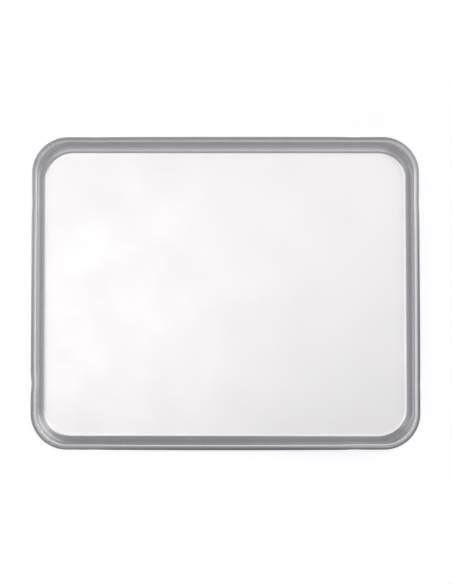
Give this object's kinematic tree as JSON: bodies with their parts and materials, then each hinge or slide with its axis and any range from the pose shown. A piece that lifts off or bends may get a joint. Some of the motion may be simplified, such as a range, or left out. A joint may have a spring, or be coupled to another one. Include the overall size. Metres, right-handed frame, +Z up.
{
  "type": "cookie sheet",
  "caption": "Shallow rectangular aluminium baking sheet with a flat floor, sloping wall, rounded corners and a rim rolled round a steel wire.",
  "frame": {"origin": "on the resting plane, under the middle of the floor", "axes": "+X along the longer side, +Y along the shorter side, +Z up out of the open top"},
  "size_m": [0.4, 0.322, 0.025],
  "materials": {
    "tray_aluminium": "bare satin, as rolled",
    "wire_steel": "galvanised, dull"
  },
  "bodies": {
    "root": {"tray_sheet": "tray_aluminium", "rim_wire": "wire_steel"}
  },
  "joints": []
}
